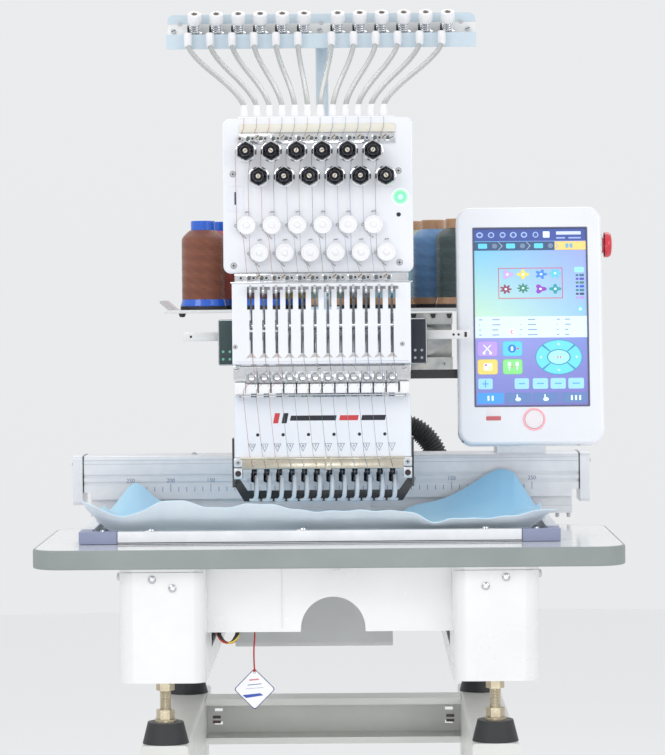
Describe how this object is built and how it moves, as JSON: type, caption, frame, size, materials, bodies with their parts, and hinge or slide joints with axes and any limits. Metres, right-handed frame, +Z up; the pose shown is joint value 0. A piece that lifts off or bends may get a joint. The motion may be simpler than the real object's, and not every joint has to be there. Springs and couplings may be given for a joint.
{
  "type": "embroidery machine",
  "caption": "Single-head embroidery machine with a sliding needle case, border frame, thread tree, tablet controller and wheeled stand.",
  "frame": {"origin": "on the floor, under the middle of the machine's bounding box", "axes": "+X to the operator's right, -Y towards the operator, +Z up"},
  "size_m": [0.6785, 0.6625, 1.509],
  "materials": {
    "white_steel": "semi-gloss white powder coat",
    "white_paint": "smooth white enamel",
    "light_paint": "light gray enamel",
    "zinc_yellow": "yellow zinc plate",
    "black_rubber": "matt black rubber",
    "bright_zinc": "bright zinc plate",
    "white_laminate": "white laminate on board",
    "gray_band": "gray plastic edge band",
    "polished_steel": "polished steel",
    "black_motor": "black enamel",
    "galvanised": "galvanised sheet",
    "tray_paint": "light gray paint",
    "thread": "wound embroidery thread",
    "blue_gray_paint": "light blue-gray paint",
    "white_plastic": "white moulded plastic",
    "clear_tube": "translucent white tube",
    "black_paint": "satin black",
    "black_wire": "insulated wire",
    "red_string": "red cotton string",
    "card": "printed card",
    "wheel_rubber": "gray-black tread",
    "beam_aluminium": "white-coated extrusion",
    "frame_aluminium": "anodised bar",
    "corner_plastic": "gray-violet plastic",
    "blue_fabric": "thin light-blue woven cotton",
    "case_metal": "satin machined aluminium",
    "white_gloss": "glossy white moulding",
    "chrome": "chrome plate",
    "black_chrome": "dark capped tension knob",
    "screen_glass": "lit touch screen",
    "pale_button": "translucent white button, pink ring",
    "red_button": "red mushroom cap"
  },
  "bodies": {
    "root": {"stand_frame": "white_steel", "leg_housings": "white_paint", "base_chassis": "white_paint", "arm_casting": "white_paint", "arm_rear_cover": "white_paint", "bed_arm": "white_paint", "control_box": "light_paint", "foot_bolts": "zinc_yellow", "foot_cups": "black_rubber", "table_top": "white_laminate", "table_edge_band": "gray_band", "needle_plate": "polished_steel", "bobbin_case": "polished_steel", "drive_motors": "black_motor", "drive_belts": "black_rubber", "colour_change_box": "galvanised", "spool_tray": "tray_paint", "thread_spools": "thread", "tree_frame": "blue_gray_paint", "upper_tensioners": "white_plastic", "thread_tubes": "clear_tube", "panel_bracket": "black_paint", "y_rails": "polished_steel", "cable_hose": "black_rubber", "wire_loom": "black_wire", "tag_string": "red_string", "hang_tag": "card", "body_screws": "polished_steel"},
    "caster_fl": {"caster_fork_fl": "bright_zinc"},
    "caster_fr": {"caster_fork_fr": "bright_zinc"},
    "wheel_fl": {"caster_wheel_fl": "wheel_rubber"},
    "wheel_fr": {"caster_wheel_fr": "wheel_rubber"},
    "wheel_rl": {"caster_wheel_rl": "wheel_rubber"},
    "wheel_rr": {"caster_wheel_rr": "wheel_rubber"},
    "main_shaft": {"main_shaft": "polished_steel"},
    "motor_pulley": {"motor_pulley": "polished_steel"},
    "rotary_hook": {"rotary_hook": "polished_steel"},
    "y_carriage": {"x_beam": "beam_aluminium"},
    "x_carriage": {"x_carriage": "beam_aluminium", "border_frame": "frame_aluminium", "frame_corners": "corner_plastic", "fabric": "blue_fabric"},
    "needle_case": {"needle_case_frame": "case_metal", "tension_panel": "white_gloss", "takeup_cover": "white_gloss", "lower_cover": "white_gloss", "thread_guides": "chrome", "tension_knobs": "black_chrome", "thread_rollers": "white_plastic", "takeup_levers": "chrome", "parked_needles": "chrome", "thread_keeper": "black_paint"},
    "takeup_lever": {"takeup_lever_active": "chrome"},
    "needle_bar": {"needle_bar_active": "chrome"},
    "presser_foot": {"presser_foot_active": "chrome"},
    "needle_driver": {"needle_driver": "polished_steel"},
    "control_panel": {"panel_shells": "white_gloss", "touch_screen": "screen_glass"},
    "start_button": {"start_button": "pale_button"},
    "estop_button": {"estop_button": "red_button"}
  },
  "joints": [
    {"name": "caster_swivel_fl", "type": "hinge", "parent": "root", "child": "caster_fl", "pos_m": [-0.188, -0.27, 0.09], "axis": [0, 0, 1], "continuous": true},
    {"name": "wheel_roll_fl", "type": "hinge", "parent": "caster_fl", "child": "wheel_fl", "pos_m": [-0.188, -0.245, 0.0375], "axis": [1, 0, 0], "continuous": true},
    {"name": "caster_swivel_fr", "type": "hinge", "parent": "root", "child": "caster_fr", "pos_m": [0.188, -0.27, 0.09], "axis": [0, 0, 1], "continuous": true},
    {"name": "wheel_roll_fr", "type": "hinge", "parent": "caster_fr", "child": "wheel_fr", "pos_m": [0.188, -0.245, 0.0375], "axis": [1, 0, 0], "continuous": true},
    {"name": "wheel_roll_rl", "type": "hinge", "parent": "root", "child": "wheel_rl", "pos_m": [-0.188, 0.295, 0.0375], "axis": [1, 0, 0], "continuous": true},
    {"name": "wheel_roll_rr", "type": "hinge", "parent": "root", "child": "wheel_rr", "pos_m": [0.188, 0.295, 0.0375], "axis": [1, 0, 0], "continuous": true},
    {"name": "main_shaft_spin", "type": "hinge", "parent": "root", "child": "main_shaft", "pos_m": [0, 0.1, 1.095], "axis": [0, 1, 0], "continuous": true},
    {"name": "motor_spin", "type": "hinge", "parent": "root", "child": "motor_pulley", "pos_m": [0.024, 0.175, 1.066], "axis": [0, 1, 0], "continuous": true},
    {"name": "hook_spin", "type": "hinge", "parent": "root", "child": "rotary_hook", "pos_m": [0, -0.08, 0.841], "axis": [0, 1, 0], "continuous": true},
    {"name": "y_travel", "type": "slide", "parent": "root", "child": "y_carriage", "axis": [0, 1, 0], "range_m": [-0.095, 0.085], "deforming": ["fabric"]},
    {"name": "x_travel", "type": "slide", "parent": "y_carriage", "child": "x_carriage", "axis": [1, 0, 0], "range_m": [-0.1, 0.1]},
    {"name": "needle_case_shift", "type": "slide", "parent": "root", "child": "needle_case", "axis": [1, 0, 0], "range_m": [-0.075, 0.09], "deforming": ["thread_tubes"]},
    {"name": "needle_stroke", "type": "slide", "parent": "needle_case", "child": "needle_bar", "axis": [0, 0, 1], "range_m": [-0.055, 0], "stiffness_N_per_m": 80, "springref_m": 0.04},
    {"name": "presser_stroke", "type": "slide", "parent": "needle_case", "child": "presser_foot", "axis": [0, 0, 1], "range_m": [-0.037, 0]},
    {"name": "driver_stroke", "type": "slide", "parent": "root", "child": "needle_driver", "axis": [0, 0, 1], "range_m": [-0.055, 0]},
    {"name": "takeup_swing", "type": "hinge", "parent": "needle_case", "child": "takeup_lever", "pos_m": [0, -0.145, 1.117], "axis": [1, 0, 0], "range_deg": [0, 70]},
    {"name": "panel_tilt", "type": "hinge", "parent": "root", "child": "control_panel", "pos_m": [0.244, -0.008, 1.082], "axis": [1, 0, 0], "range_deg": [-20, 18]},
    {"name": "start_press", "type": "slide", "parent": "control_panel", "child": "start_button", "axis": [0, 0.9903, -0.1392], "range_m": [0, 0.001], "stiffness_N_per_m": 1500},
    {"name": "estop_press", "type": "slide", "parent": "control_panel", "child": "estop_button", "axis": [-1, 0, 0], "range_m": [0, 0.003], "stiffness_N_per_m": 1200}
  ],
  "couplings": [
    {"joint": "motor_spin", "follows": "main_shaft_spin", "ratio": 1.4286},
    {"joint": "hook_spin", "follows": "main_shaft_spin", "ratio": 1.5},
    {"joint": "presser_stroke", "follows": "needle_stroke", "ratio": 0.67273},
    {"joint": "driver_stroke", "follows": "needle_stroke", "ratio": 1},
    {"joint": "takeup_swing", "follows": "needle_stroke", "rad_per_m": -22.213}
  ]
}
